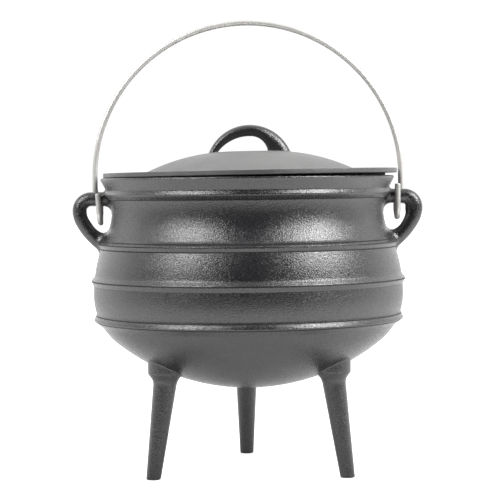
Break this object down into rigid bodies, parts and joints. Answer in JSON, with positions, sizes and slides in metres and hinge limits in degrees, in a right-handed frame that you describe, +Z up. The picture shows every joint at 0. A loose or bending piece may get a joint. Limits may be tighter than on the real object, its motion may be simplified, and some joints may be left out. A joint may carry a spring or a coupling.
{
  "type": "cast iron stew pot",
  "caption": "Round-bellied cast iron stew pot on short legs, with raised bands, a loose domed lid with an arch handle, side ears and a swinging wire bail.",
  "frame": {"origin": "on the floor, in the pot's own axis, midway between the ears", "axes": "+Z up along the pot's axis, +X towards the right ear as seen from the front, -Y towards the front between the two front legs"},
  "size_m": [0.3116, 0.279, 0.4014],
  "materials": {
    "pot": "matte black coated, sand-cast grain",
    "lid": "matte dark grey coated, sand-cast grain",
    "bail": "galvanised, satin"
  },
  "bodies": {
    "pot_body": {"pot": "pot", "lid": "lid"},
    "bail_body": {"bail": "bail"}
  },
  "joints": [
    {"name": "bail_swing", "type": "hinge", "parent": "pot_body", "child": "bail_body", "pos_m": [0, 0, 0.2433], "axis": [1, 0, 0], "range_deg": [-111, 114]}
  ]
}
